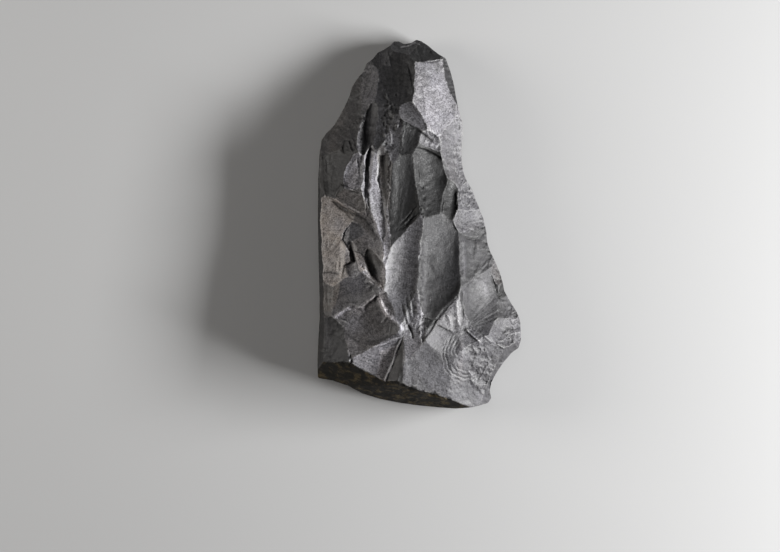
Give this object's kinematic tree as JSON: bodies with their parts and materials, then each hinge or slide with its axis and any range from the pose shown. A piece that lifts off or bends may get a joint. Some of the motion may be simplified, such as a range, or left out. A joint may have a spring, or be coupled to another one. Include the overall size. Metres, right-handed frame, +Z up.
{
  "type": "keilmesser",
  "caption": "Knapped stone keilmesser: a wedge-shaped hand-held knife with a blunt back, a thin cutting edge and flake scars on both faces, lying on its flatter face.",
  "frame": {"origin": "middle of the stone's footprint box, on the surface that it lies on", "axes": "+X from the thick back to the cutting edge, +Y from the base to the tip, +Z up, away from the surface that it lies on"},
  "size_m": [0.061, 0.111, 0.0245],
  "materials": {
    "slate": "rough"
  },
  "bodies": {
    "root": {"knapped_stone": "slate"}
  },
  "joints": []
}
